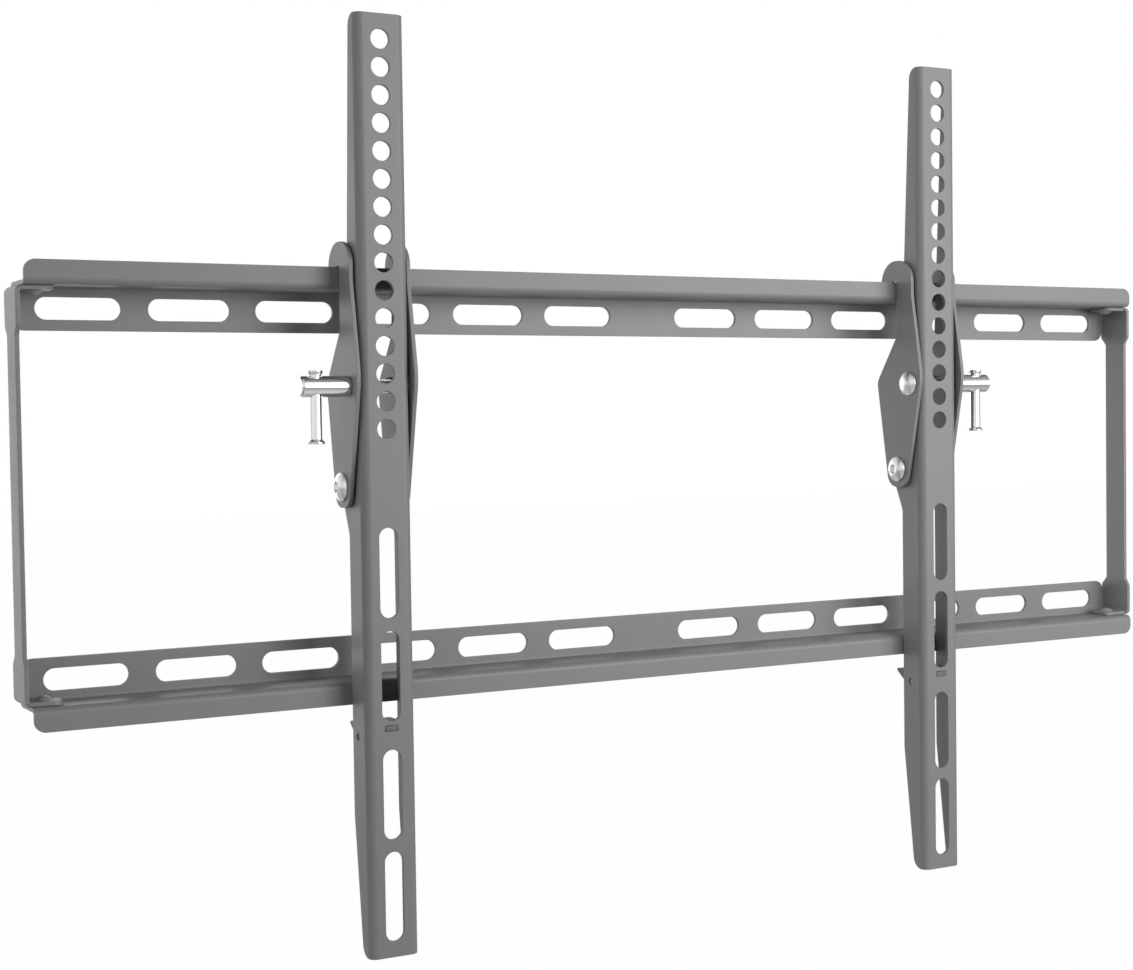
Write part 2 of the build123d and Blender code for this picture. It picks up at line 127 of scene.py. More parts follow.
@dataclass
class NodeBench:
    """Adds and links nodes in one node tree."""

    tree: NodeTree
    column: int = 0
    column_width: int = 190

    def add(self, kind: str, inputs: Inputs | None = None, **settings: object) -> Node:
        """Add one node.

        Args:
            kind: Blender's node class name.
            inputs: Sockets or plain values by input name or number.
            settings: Node properties by name.

        Returns:
            The new node.
        """
        node = self.tree.nodes.new(kind)
        node.location = (self.column * self.column_width, 0)
        self.column += 1
        for name, value in settings.items():
            setattr(node, name, value)
        for name, value in (inputs or {}).items():
            self.feed(value, node.inputs[name])
        return node

    def feed(self, value: object, target: NodeSocket) -> None:
        """Link a socket to an input, or write a plain value into it.

        Args:
            value: An output socket or a plain value.
            target: The input socket.
        """
        if isinstance(value, NodeSocket):
            self.tree.links.new(value, target)
        else:
            target.default_value = value

    def math(self, operation: str, first: object, second: object) -> NodeSocket:
        """Result of a Math node on two sockets or numbers."""
        return self.add("ShaderNodeMath", {0: first, 1: second}, operation=operation).outputs[0]

    def dot(self, first: object, second: object) -> NodeSocket:
        """Dot product of two vectors, each a socket or three numbers."""
        node = self.add("ShaderNodeVectorMath", {0: first, 1: second}, operation="DOT_PRODUCT")
        return node.outputs["Value"]

    def place(self) -> NodeSocket:
        """Place on the piece, in its own coordinates."""
        return self.add("ShaderNodeTexCoord").outputs["Object"]

    def noise(self, scale: object, detail: float, roughness: float = 0.5) -> NodeSocket:
        """Add a noise over the piece.

        Args:
            scale: How fine it is, a socket or a number.
            detail: How many finer layers it has.
            roughness: How strong the finer layers are.

        Returns:
            The noise, from 0 to 1.
        """
        inputs = {"Vector": self.place(), "Scale": scale, "Detail": detail, "Roughness": roughness}
        return self.add("ShaderNodeTexNoise", inputs).outputs["Fac"]

    def centred(self, noise: NodeSocket) -> NodeSocket:
        """Shift a noise so that it swings about 0."""
        return self.math("SUBTRACT", noise, 0.5)

    def ramp(self, value: NodeSocket, low: float, high: float) -> NodeSocket:
        """Rise from 0 where a value is low to 1 where it is high."""
        inputs = {"Value": value, "From Min": low, "From Max": high}
        return self.add("ShaderNodeMapRange", inputs, clamp=True).outputs[0]

    def toned(self, colour: NodeSocket, shift: NodeSocket) -> NodeSocket:
        """Make a colour lighter or darker.

        Args:
            colour: The colour.
            shift: The share of its brightness that is added.

        Returns:
            The new colour.
        """
        value = self.math("ADD", shift, 1.0)
        node = self.add("ShaderNodeHueSaturation", {"Value": value, "Color": colour})
        return node.outputs["Color"]

    def blended(self, mask: NodeSocket, under: NodeSocket, over: Colour) -> NodeSocket:
        """Lay a colour over another one where a mask says so.

        Args:
            mask: How much of the upper colour shows, from 0 to 1.
            under: The colour below.
            over: The colour that is laid on.

        Returns:
            The blended colour.
        """
        inputs = {MIX_FACTOR: mask, MIX_FIRST: under, MIX_SECOND: (*over, 1.0)}
        return self.add("ShaderNodeMix", inputs, data_type="RGBA").outputs[MIX_RESULT]


@dataclass
class EffectGroups:
    """Builds each shared effect once, as a shader node group."""

    pit_scale: float = 0.6
    pit_depth: float = 0.5
    mottle_scale: float = 22.0
    mottle_gain: float = 2.0
    speck_share: float = 0.7
    coat_gloss_drift: float = 0.16
    rub_and_highlight_scale: float = 140.0
    rub_and_highlight_breaks: tuple[float, float] = (0.35, 0.65)
    rub_smoothing: float = 0.3
    # Lighter colour along the rounded edges: coat wear and a painted edge highlight.
    worn_and_highlight_colour: Colour = (0.5, 0.5, 0.5)
    dust_scale: float = 90.0
    dust_slope: tuple[float, float] = (0.6, 1.0)
    dust_colour: Colour = (0.55, 0.54, 0.52)
    haze_scale: float = 260.0
    haze_tone: float = 0.22
    haze_gloss_drift: float = 0.12
    made: dict[Effect, NodeTree] = field(default_factory=dict)

    def get(self, effect: Effect) -> NodeTree:
        """Return the group of one effect, building it the first time.

        Args:
            effect: The effect wanted.

        Returns:
            The shader node group.
        """
        if effect not in self.made:
            builder = {
                Effect.GRAIN: self._grain,
                Effect.EDGE_RUB_AND_HIGHLIGHT: self._rub_and_highlight,
                Effect.DUST: self._dust,
                Effect.HAZE: self._haze,
                Effect.TURNING: self._turning,
            }[effect]
            self.made[effect] = builder(effect.value)
        return self.made[effect]

    @staticmethod
    def _open(
        name: str, inputs: dict[str, Socket], outputs: dict[str, Socket]
    ) -> tuple[NodeBench, Node, Node]:
        """Make an empty group with its sockets.

        Args:
            name: The group's name.
            inputs: Kind of each input by name.
            outputs: Kind of each output by name.

        Returns:
            The bench, the group's input node and its output node.
        """
        tree = bpy.data.node_groups.new(name, "ShaderNodeTree")
        for way, sockets in (("INPUT", inputs), ("OUTPUT", outputs)):
            for label, kind in sockets.items():
                tree.interface.new_socket(name=label, in_out=way, socket_type=kind.value)
        bench = NodeBench(tree)
        return bench, bench.add("NodeGroupInput"), bench.add("NodeGroupOutput")

    def _grain(self, name: str) -> NodeTree:
        """Fine sand-like grain and slow mottle of a powder coat.

        Args:
            name: The group's name.

        Returns:
            The group: height, colour and roughness over the surface.
        """
        bench, start, end = self._open(
            name,
            {
                "Colour": Socket.COLOUR,
                "Scale": Socket.VALUE,
                "Mottle": Socket.VALUE,
                "Roughness": Socket.VALUE,
            },
            {"Height": Socket.VALUE, "Colour": Socket.COLOUR, "Roughness": Socket.VALUE},
        )
        scale = start.outputs["Scale"]
        fine = bench.noise(scale, detail=2.0, roughness=0.55)
        pit_scale = bench.math("MULTIPLY", scale, self.pit_scale)
        pits = bench.add("ShaderNodeTexVoronoi", {"Vector": bench.place(), "Scale": pit_scale})
        depth = bench.math("MULTIPLY", pits.outputs["Distance"], self.pit_depth)
        bench.feed(bench.math("ADD", fine, depth), end.inputs["Height"])
        drift = bench.centred(bench.noise(self.mottle_scale, detail=3.0))
        speck = bench.math("MULTIPLY", bench.centred(fine), self.speck_share)
        shift = bench.math("MULTIPLY", bench.math("ADD", drift, speck), start.outputs["Mottle"])
        shift = bench.math("MULTIPLY", shift, self.mottle_gain)
        bench.feed(bench.toned(start.outputs["Colour"], shift), end.inputs["Colour"])
        change = bench.math("MULTIPLY", drift, self.coat_gloss_drift)
        rough = bench.math("ADD", start.outputs["Roughness"], change)
        bench.feed(rough, end.inputs["Roughness"])
        return bench.tree

    def _rub_and_highlight(self, name: str) -> NodeTree:
        """Coat worn thin and smooth along the rounded sheet edges. Its lighter colour there is
        partly wear and partly a painted highlight of the rounded edges.

        Args:
            name: The group's name.

        Returns:
            The group: colour and roughness over the surface.
        """
        bench, start, end = self._open(
            name,
            {"Colour": Socket.COLOUR, "Roughness": Socket.VALUE, "Amount": Socket.VALUE},
            {"Colour": Socket.COLOUR, "Roughness": Socket.VALUE},
        )
        edge = bench.add("ShaderNodeAttribute", attribute_name=EDGE_ATTRIBUTE).outputs["Fac"]
        broken = bench.noise(self.rub_and_highlight_scale, detail=3.0, roughness=0.6)
        # Broken mask along the rounded edges, lightened as wear and as a painted highlight.
        mask = bench.math("MULTIPLY", edge, bench.ramp(broken, *self.rub_and_highlight_breaks))
        mask = bench.math("MULTIPLY", mask, start.outputs["Amount"])
        rubbed_and_highlit = bench.blended(mask, start.outputs["Colour"], self.worn_and_highlight_colour)
        bench.feed(rubbed_and_highlit, end.inputs["Colour"])
        change = bench.math("MULTIPLY", mask, self.rub_smoothing)
        smoother = bench.math("SUBTRACT", start.outputs["Roughness"], change)
        bench.feed(smoother, end.inputs["Roughness"])
        return bench.tree

    def _dust(self, name: str) -> NodeTree:
        """Thin pale dust on surfaces that face up.

        Args:
            name: The group's name.

        Returns:
            The group: colour over the surface.
        """
        bench, start, end = self._open(
            name,
            {"Colour": Socket.COLOUR, "Amount": Socket.VALUE},
            {"Colour": Socket.COLOUR},
        )
        normal = bench.add("ShaderNodeNewGeometry").outputs["Normal"]
        upward = bench.add("ShaderNodeSeparateXYZ", {0: normal}).outputs["Z"]
        patches = bench.noise(self.dust_scale, detail=4.0)
        amount = bench.math("MULTIPLY", patches, start.outputs["Amount"])
        mask = bench.math("MULTIPLY", bench.ramp(upward, *self.dust_slope), amount)
        dusty = bench.blended(mask, start.outputs["Colour"], self.dust_colour)
        bench.feed(dusty, end.inputs["Colour"])
        return bench.tree

    def _haze(self, name: str) -> NodeTree:
        """Faint cloudiness of bright plating.

        Args:
            name: The group's name.

        Returns:
            The group: colour and roughness over the surface.
        """
        bench, start, end = self._open(
            name,
            {"Colour": Socket.COLOUR, "Roughness": Socket.VALUE},
            {"Colour": Socket.COLOUR, "Roughness": Socket.VALUE},
        )
        drift = bench.centred(bench.noise(self.haze_scale, detail=4.0, roughness=0.6))
        shift = bench.math("MULTIPLY", drift, self.haze_tone)
        bench.feed(bench.toned(start.outputs["Colour"], shift), end.inputs["Colour"])
        change = bench.math("MULTIPLY", drift, self.haze_gloss_drift)
        rough = bench.math("ADD", start.outputs["Roughness"], change)
        bench.feed(rough, end.inputs["Roughness"])
        return bench.tree

    def _turning(self, name: str) -> NodeTree:
        """Fine tool rings left along the axis of a turned piece.

        Args:
            name: The group's name.

        Returns:
            The group: height over the surface.
        """
        bench, start, end = self._open(
            name,
            {"Axis": Socket.VECTOR, "Scale": Socket.VALUE},
            {"Height": Socket.VALUE},
        )
        along = bench.dot(bench.place(), start.outputs["Axis"])
        along = bench.math("MULTIPLY", along, start.outputs["Scale"])
        rings = bench.add("ShaderNodeTexNoise", noise_dimensions="1D")
        bench.feed(along, rings.inputs["W"])
        bench.feed(2.0, rings.inputs["Detail"])
        bench.feed(rings.outputs["Fac"], end.inputs["Height"])
        return bench.tree


EFFECTS = EffectGroups()


class Surface:
    """A material with a Principled BSDF on its output."""

    def __init__(self, name: str) -> None:
        """Make the material.

        Args:
            name: The material's name.
        """
        self.material = bpy.data.materials.new(name)
        self.material.use_nodes = True
        self.material.node_tree.nodes.clear()
        self.bench = NodeBench(self.material.node_tree)
        self.shader = self.bench.add("ShaderNodeBsdfPrincipled")
        self.output = self.bench.add("ShaderNodeOutputMaterial")
        self.show(self.shader.outputs["BSDF"])

    def show(self, shader: NodeSocket) -> None:
        """Put a shader on the material's output."""
        self.bench.feed(shader, self.output.inputs["Surface"])

    def effect(self, effect: Effect, inputs: Inputs) -> Node:
        """Place a shared effect with its own sockets and values."""
        return self.bench.add("ShaderNodeGroup", inputs, node_tree=EFFECTS.get(effect))

    def bump(self, height: NodeSocket, depth: float) -> NodeSocket:
        """Normal of a surface raised by a height, up to a depth in metres."""
        inputs = {"Strength": 1.0, "Distance": depth, "Height": height}
        return self.bench.add("ShaderNodeBump", inputs).outputs["Normal"]

    def set(self, inputs: Inputs) -> None:
        """Feed the shader's inputs by name."""
        for name, value in inputs.items():
            self.bench.feed(value, self.shader.inputs[name])


@dataclass(frozen=True)
class PowderCoat:
    """Satin powder coat on folded steel."""

    name: str
    colour: Colour
    roughness: float = 0.46
    specular: float = 0.40
    mottle: float = 0.05
    grain_scale: float = 2300.0
    grain_depth: float = 0.000016
    rub_and_highlight: float = 0.35
    # Strength of the edge wear, which also lays a painted highlight along the rounded edges.
    dust: float = 0.10

    def material(self) -> Material:
        """Build the coat's material.

        Returns:
            The material.
        """
        surface = Surface(self.name)
        grain = surface.effect(
            Effect.GRAIN,
            {
                "Colour": (*self.colour, 1.0),
                "Scale": self.grain_scale,
                "Mottle": self.mottle,
                "Roughness": self.roughness,
            },
        )
        rub_and_highlight = surface.effect(
            Effect.EDGE_RUB_AND_HIGHLIGHT,
            {
                "Colour": grain.outputs["Colour"],
                "Roughness": grain.outputs["Roughness"],
                "Amount": self.rub_and_highlight,
            },
        )
        dust = surface.effect(
            Effect.DUST, {"Colour": rub_and_highlight.outputs["Colour"], "Amount": self.dust}
        )
        surface.set(
            {
                "Base Color": dust.outputs["Colour"],
                "Roughness": rub_and_highlight.outputs["Roughness"],
                "Specular IOR Level": self.specular,
                "Normal": surface.bump(grain.outputs["Height"], self.grain_depth),
            }
        )
        return surface.material


@dataclass(frozen=True)
class BrightPlate:
    """Bright plated steel of bolts and handles."""

    name: str
    colour: Colour
    roughness: float
    axis: Point
    ring_scale: float = 4000.0
    ring_depth: float = 0.0000012

    def material(self) -> Material:
        """Build the plating's material.

        Returns:
            The material.
        """
        surface = Surface(self.name)
        haze = surface.effect(
            Effect.HAZE, {"Colour": (*self.colour, 1.0), "Roughness": self.roughness}
        )
        rings = surface.effect(Effect.TURNING, {"Axis": self.axis, "Scale": self.ring_scale})
        surface.set(
            {
                "Base Color": haze.outputs["Colour"],
                "Roughness": haze.outputs["Roughness"],
                "Metallic": 1.0,
                "Normal": surface.bump(rings.outputs["Height"], self.ring_depth),
            }
        )
        return surface.material


@dataclass(frozen=True)
class Nylon:
    """Matt nylon of the pivot spacers."""

    name: str
    colour: Colour
    roughness: float = 0.6
    mottle: float = 0.08
    grain_scale: float = 3200.0

    def material(self) -> Material:
        """Build the nylon's material.

        Returns:
            The material.
        """
        surface = Surface(self.name)
        grain = surface.effect(
            Effect.GRAIN,
            {
                "Colour": (*self.colour, 1.0),
                "Scale": self.grain_scale,
                "Mottle": self.mottle,
                "Roughness": self.roughness,
            },
        )
        surface.set(
            {"Base Color": grain.outputs["Colour"], "Roughness": grain.outputs["Roughness"]}
        )
        return surface.material


class Finishes:
    """One material of each finish on the bracket."""

    def __init__(self) -> None:
        """Build every finish."""
        bright, heads, dull = (0.82, 0.82, 0.83), (0.88, 0.88, 0.89), (0.20, 0.20, 0.205)
        # The frame coat is a little lighter than the arm coat: painted light that makes up for the
        # light the recessed rail webs lack.
        self.frame = PowderCoat("frame_powder_coat", (0.230, 0.231, 0.234)).material()
        # The rivet coat is lighter than the frame coat as a painted highlight on the rivet heads;
        # its lower roughness is a glossier finish.
        self.rivet = PowderCoat(
            "rivet_coat_painted_highlight", (0.290, 0.291, 0.294), roughness=0.34
        ).material()
        self.arm = PowderCoat("arm_powder_coat", (0.219, 0.220, 0.223)).material()
        self.hook = PowderCoat("hook_powder_coat", (0.212, 0.213, 0.216)).material()
        self.lock = PowderCoat("lock_powder_coat", (0.14, 0.14, 0.143)).material()
        self.along_x = BrightPlate("bright_plate_across", bright, 0.14, ACROSS).material()
        self.along_z = BrightPlate("bright_plate_upright", bright, 0.14, UPRIGHT).material()
        self.heads = BrightPlate("bright_plate_heads", heads, 0.30, ACROSS).material()
        self.pin = BrightPlate("dull_plate_pin", dull, 0.48, ACROSS).material()
        self.nylon = Nylon("spacer_nylon", (0.03, 0.03, 0.032)).material()


def merge_flat(shape: BMesh) -> None:
    """Join faces that lie in one plane, up to the edges that are marked as seams.

    Args:
        shape: The working mesh.
    """
    bmesh.ops.dissolve_limit(
        shape,
        angle_limit=ONE_PLANE,
        verts=shape.verts,
        edges=shape.edges,
        use_dissolve_boundaries=False,
        delimit={"SEAM"},
    )


def round_edges(shape: BMesh, edges: list[BMEdge], radius: float, facets: int) -> set[BMFace]:
    """Round edges of a working mesh.

    Args:
        shape: The working mesh.
        edges: The edges to round.
        radius: Edge radius in metres.
        facets: Facets across each rounded edge.

    Returns:
        The new faces along the edges.
    """
    rounded = bmesh.ops.bevel(
        shape,
        geom=edges,
        offset=radius,
        offset_type="OFFSET",
        segments=facets,
        profile=ROUND_PROFILE,
        affect="EDGES",
        clamp_overlap=False,
    )
    return set(rounded["faces"])


def softened(
    node: str, radius: float, reshape: Callable[[BMesh], None] | None = None
) -> Object:
    """Make a piece from a CAD solid with its sharp edges rounded, to stand for that solid.

    Args:
        node: The CAD node.
        radius: Edge radius in metres.
        reshape: Refines the working mesh before its edges are rounded.

    Returns:
        The new piece, riding on the node's body.
    """
    shape = bmesh.new()
    shape.from_mesh(frame["nodes"][node].data)
    bmesh.ops.remove_doubles(shape, verts=shape.verts, dist=MICRON)
    if reshape is not None:
        reshape(shape)
    merge_flat(shape)
    for edge in shape.edges:
        edge.seam = False
    sharp = [
        edge
        for edge in shape.edges
        if len(edge.link_faces) == 2 and edge.calc_face_angle(0.0) > SHARP_EDGE
    ]
    edge_faces = round_edges(shape, sharp, radius, EDGE_FACETS)
    # Mask of the rounded edges, where wear and a painted highlight lighten the coat.
    rubbed_and_highlit = shape.verts.layers.float.new(EDGE_ATTRIBUTE)
    for vert in shape.verts:
        vert[rubbed_and_highlit] = float(all(face in edge_faces for face in vert.link_faces))
    return finish_piece(shape, node)


def body_of_node(node: str) -> str:
    """Name of the body that a CAD node rides on."""
    bodies = frame["record"]["behaviour"]["bodies"]
    return next(body for body, nodes in bodies.items() if node in nodes)


def finish_piece(shape: BMesh, node: str, sharp_angle: float = SHARP_EDGE) -> Object:
    """Turn a working mesh into the piece that stands for a CAD solid.

    Args:
        shape: The working mesh, freed here.
        node: The CAD node it stands for.
        sharp_angle: Edges at this angle or steeper stay sharp.

    Returns:
        The new piece, riding on the node's body.
    """
    for face in shape.faces:
        face.smooth = True
    for edge in shape.edges:
        edge.smooth = edge.calc_face_angle(0.0) < sharp_angle
    name = f"{node}_skin"
    mesh = bpy.data.meshes.new(name)
    shape.to_mesh(mesh)
    shape.free()
    piece = bpy.data.objects.new(name, mesh)
    bpy.context.scene.collection.objects.link(piece)
    even = piece.modifiers.new("even_shading", "WEIGHTED_NORMAL")
    even.keep_sharp = True
    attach(piece, body_of_node(node))
    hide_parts(node)
    return piece


def dress(piece: Object, material: Material) -> None:
    """Give a piece its finish.

    Args:
        piece: The piece.
        material: Its material.
    """
    piece.data.materials.clear()
    piece.data.materials.append(material)
    log.info("%s: %d faces, %s", piece.name, len(piece.data.polygons), material.name)


@dataclass
class WallFrame:
    """Two slotted rails, two side plates and the rivets that join them."""

    edge_radius: float = 0.00028
    rivet_edge: float = 0.00012
    tab_corner: float = 0.0050
    corner_facets: int = 8
    rails: tuple[str, ...] = ("upper_rail", "lower_rail")
    side_plates: tuple[str, ...] = ("left_side_plate", "right_side_plate")
    rivets: tuple[str, ...] = (
        "upper_left_rivet",
        "lower_left_rivet",
        "upper_right_rivet",
        "lower_right_rivet",
    )

    def build(self, finishes: Finishes) -> None:
        """Build and dress the frame.

        Args:
            finishes: The bracket's materials.
        """
        for name in self.rails:
            dress(softened(name, self.edge_radius), finishes.frame)
        for name in self.side_plates:
            plate = softened(name, self.edge_radius, self._round_tabs)
            dress(plate, finishes.frame)
        for name in self.rivets:
            dress(softened(name, self.rivet_edge), finishes.rivet)

    def _round_tabs(self, shape: BMesh) -> None:
        """Round the free corners of a side plate's tabs.

        Args:
            shape: The plate's working mesh.
        """
        merge_flat(shape)
        tab_end = min(abs(vert.co.x) for vert in shape.verts)
        corners = [edge for edge in shape.edges if self._is_corner(edge, tab_end)]
        round_edges(shape, corners, self.tab_corner, self.corner_facets)
        bmesh.ops.dissolve_degenerate(shape, dist=MICRON, edges=shape.edges)

    @staticmethod
    def _is_corner(edge: BMEdge, tab_end: float) -> bool:
        """Tell if an edge stands upright in a corner of a tab.

        Args:
            edge: The edge.
            tab_end: Distance of the tabs' free ends from the bracket's middle.

        Returns:
            True for a corner.
        """
        first, second = (vert.co for vert in edge.verts)
        reaches = (abs(first.x), abs(second.x))
        at_end = all(math.isclose(reach, tab_end, abs_tol=MICRON) for reach in reaches)
        return at_end and math.isclose(first.y, second.y, abs_tol=MICRON)


@dataclass
class ScreenArm:
    """Channel arm with its lock plate and pin."""

    side: Side
    edge_radius: float = 0.00028
    lock_edge: float = 0.00020
    pin_edge: float = 0.00015
    bend_radius: float = 0.0040
    bend_in_solid: float = 0.0026
    bend_cuts: int = 3
    barb_stretch: float = 1.9
    flange_back: float = -0.0248

    def build(self, finishes: Finishes) -> None:
        """Build and dress the arm.

        Args:
            finishes: The bracket's materials.
        """
        arm = softened(self.side.piece("arm"), self.edge_radius, self._open_bends)
        dress(arm, finishes.arm)
        lock = softened(self.side.piece("lock_plate"), self.lock_edge, self._long_barb)
        dress(lock, finishes.lock)
        dress(softened(self.side.piece("lock_pin"), self.pin_edge), finishes.pin)

    def _open_bends(self, shape: BMesh) -> None:
        """Open the two long bends to their full radius, with the sheet's thickness kept.

        Args:
            shape: The arm's working mesh.
        """
        low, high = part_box(self.side.piece("arm"))
        bend_y = low[1] + self.bend_radius
        core = self.bend_radius - self.bend_in_solid
        bends = ((-1, low[0] + self.bend_radius), (1, high[0] - self.bend_radius))
        for cut in range(self.bend_cuts):
            step = core * cut / self.bend_cuts
            self._cut(shape, (0.0, bend_y - step, 0.0), INWARD)
            for way, bend_x in bends:
                self._cut(shape, (bend_x + way * step, 0.0, 0.0), ACROSS)
        merge_flat(shape)
        for way, bend_x in bends:
            for vert in shape.verts:
                across, forward = way * (vert.co.x - bend_x), bend_y - vert.co.y
                if across > 0.0 and forward > 0.0:
                    offset, angle = self._on_bend(across, forward, core)
                    vert.co.x = bend_x + way * offset * math.cos(angle)
                    vert.co.y = bend_y - offset * math.sin(angle)

    @staticmethod
    def _on_bend(across: float, forward: float, core: float) -> tuple[float, float]:
        """Find where a point of the tight bend goes on the open one, by its share of the way round.

        Args:
            across: Distance from the open bend's centre, across the arm.
            forward: Distance from that centre, towards the screen.
            core: Distance between the two bends' centres, across and forward.

        Returns:
            Radius and angle about the open bend's centre.
        """
        offset, way_round = max(across, forward), min(across, forward)
        if way_round > core:
            offset = core + math.hypot(across - core, forward - core)
            way_round = core + (offset - core) * math.atan2(forward - core, across - core)
        elif forward > across:
            way_round = core + (offset - core) * QUARTER_TURN + core - across
        length = 2 * core + (offset - core) * QUARTER_TURN
        return offset, way_round / length * QUARTER_TURN

    @staticmethod
    def _cut(shape: BMesh, place: Point, facing: Point) -> None:
        """Cut seams where a plane meets the mesh.

        Args:
            shape: The working mesh.
            place: A point on the plane.
            facing: The plane's normal.
        """
        made = bmesh.ops.bisect_plane(
            shape,
            geom=[*shape.verts, *shape.edges, *shape.faces],
            dist=CUT_SNAP,
            plane_co=place,
            plane_no=facing,
        )
        for cut in made["geom_cut"]:
            if isinstance(cut, BMEdge):
                cut.seam = True

    def _long_barb(self, shape: BMesh) -> None:
        """Draw the lock plate's barb out behind the flanges.

        Args:
            shape: The lock plate's working mesh.
        """
        for vert in shape.verts:
            behind = max(0.0, vert.co.y - self.flange_back)
            vert.co.y += behind * (self.barb_stretch - 1.0)


@dataclass
class HookPair:
    """Hook plates of one arm with their pivot hardware."""

    side: Side
    edge_radius: float = 0.00028
    head_edge: float = 0.00022
    spacer_edge: float = 0.00012

    def build(self, finishes: Finishes) -> None:
        """Build and dress the hook plates, spacers, pivot bolt and nut.

        Args:
            finishes: The bracket's materials.
        """
        for name in ("outer_hook_plate", "inner_hook_plate"):
            dress(softened(self.side.piece(name), self.edge_radius), finishes.hook)
        for name in ("outer_spacer", "inner_spacer"):
            dress(softened(self.side.piece(name), self.spacer_edge), finishes.nylon)
        for name in ("pivot_bolt", "pivot_nut"):
            dress(softened(self.side.piece(name), self.head_edge), finishes.heads)


@dataclass
class TiltClamp:
    """Tilt bolt, handle sleeve and sliding bar of one arm."""

    side: Side
    head_edge: float = 0.00020
    shank_radius: float = 0.0030
    crown_height: float = 0.0028
    head_land: float = 0.0006
    plain_length: float = 0.0032
    thread_pitch: float = 0.0010
    thread_depth: float = 0.00055
    thread_crease: float = math.radians(60)
    run_out_turns: int = 2
    tip_chamfer: float = 0.0008
    facets: int = 40
    dome_rings: int = 9

    def build(self, finishes: Finishes) -> None:
        """Build and dress the clamp.

        Args:
            finishes: The bracket's materials.
        """
        handle, bar = self.side.piece("tilt_handle"), self.side.piece("handle_bar")
        dress(self._threaded_bolt(), finishes.heads)
        dress(softened(handle, self.head_edge), finishes.along_x)
        dress(softened(bar, self.head_edge), finishes.along_z)

    def _threaded_bolt(self) -> Object:
        """Make the tilt bolt: domed head, plain neck and a helical thread to the tip.

        Returns:
            The bolt, standing for the CAD bolt.
        """
        node = self.side.piece("tilt_bolt")
        low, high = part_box(node)
        outward = self.side.sign
        crown_x = low[0] if outward > 0 else high[0]
        centre = Vector((crown_x, (low[1] + high[1]) / 2, (low[2] + high[2]) / 2))
        head_radius = (high[2] - low[2]) / 2
        length = high[0] - low[0]
        head = self.crown_height + self.head_land
        start, stop = head + self.plain_length, length - self.tip_chamfer
        shape = bmesh.new()

        def ring(along: float, radius: float) -> list[BMVert]:
            """Add a ring of vertices to the bolt.

            Args:
                along: Distance along the bolt.
                radius: The ring's radius.

            Returns:
                The ring's vertices in order.
            """
            turns = (j / self.facets for j in range(self.facets))
            places = (self._around(centre, outward, along, radius, turn) for turn in turns)
            return [shape.verts.new(place) for place in places]

        rings = [ring(*place) for place in self._head_places(head_radius)]
        rings.append(ring(head, self.shank_radius))
        rings.append(ring(start, self.shank_radius))
        for first, second in zip(rings, rings[1:]):
            self._wall(shape, first, second)
        self._thread(shape, centre, outward, start, stop)
        neck = ring(stop, self.shank_radius)
        tip = ring(length, self.shank_radius - self.tip_chamfer)
        self._wall(shape, neck, tip)
        shape.faces.new(tip)
        shape.faces.new(list(reversed(rings[0])))
        bmesh.ops.remove_doubles(shape, verts=shape.verts, dist=MICRON)
        bmesh.ops.recalc_face_normals(shape, faces=shape.faces)
        return finish_piece(shape, node, self.thread_crease)

    @staticmethod
    def _around(centre: Vector, outward: int, along: float, radius: float, turn: float) -> Vector:
        """Point on the bolt at a distance along it, a radius and a part of a turn."""
        y, z = math.cos(2 * math.pi * turn), math.sin(2 * math.pi * turn)
        return centre + Vector((outward * along, radius * y, radius * z))

    def _head_places(self, head_radius: float) -> list[tuple[float, float]]:
        """Distances along the bolt and radii of the rings of its domed head.

        Args:
            head_radius: Radius of the head's rim.

        Returns:
            One distance and radius for each ring, from the crown to the neck.
        """
        ball = (head_radius**2 + self.crown_height**2) / (2 * self.crown_height)
        places = []
        for step in range(1, self.dome_rings + 1):
            radius = head_radius * step / self.dome_rings
            places.append((ball - math.sqrt(ball**2 - radius**2), radius))
        places.append((self.crown_height + self.head_land, head_radius))
        return places

    def _wall(self, shape: BMesh, first: list[BMVert], second: list[BMVert]) -> None:
        """Join two rings with faces.

        Args:
            shape: The working mesh.
            first: Vertices of one ring.
            second: Vertices of the next ring.
        """
        for j in range(self.facets):
            k = (j + 1) % self.facets
            shape.faces.new((first[j], first[k], second[k], second[j]))

    def _thread(
        self, shape: BMesh, centre: Vector, outward: int, start: float, stop: float
    ) -> None:
        """Wind the thread as one helical strip that runs out into the shank at both ends.

        Args:
            shape: The working mesh.
            centre: Crown of the bolt's head.
            outward: Direction of the bolt along X.
            start: Distance along the bolt where the thread begins.
            stop: Distance along the bolt where it ends.
        """
        root = self.shank_radius - self.thread_depth
        profile = (self.shank_radius, self.shank_radius, root, root)
        steps = len(profile)
        turns = math.ceil((stop - start) / self.thread_pitch) + self.run_out_turns
        rows = []
        for i in range(-steps, turns * steps + 1):
            row = []
            for j in range(self.facets + 1):
                turn = j / self.facets
                along = start + self.thread_pitch * (i / steps + turn)
                inside = min(along - start, stop - along) / self.thread_pitch
                fade = max(0.0, min(1.0, inside))
                radius = self.shank_radius + (profile[i % steps] - self.shank_radius) * fade
                along = max(start, min(stop, along))
                place = self._around(centre, outward, along, radius, turn)
                row.append(shape.verts.new(place))
            rows.append(row)
        for first, second in zip(rows, rows[1:]):
            for j in range(self.facets):
                shape.faces.new((first[j], first[j + 1], second[j + 1], second[j]))


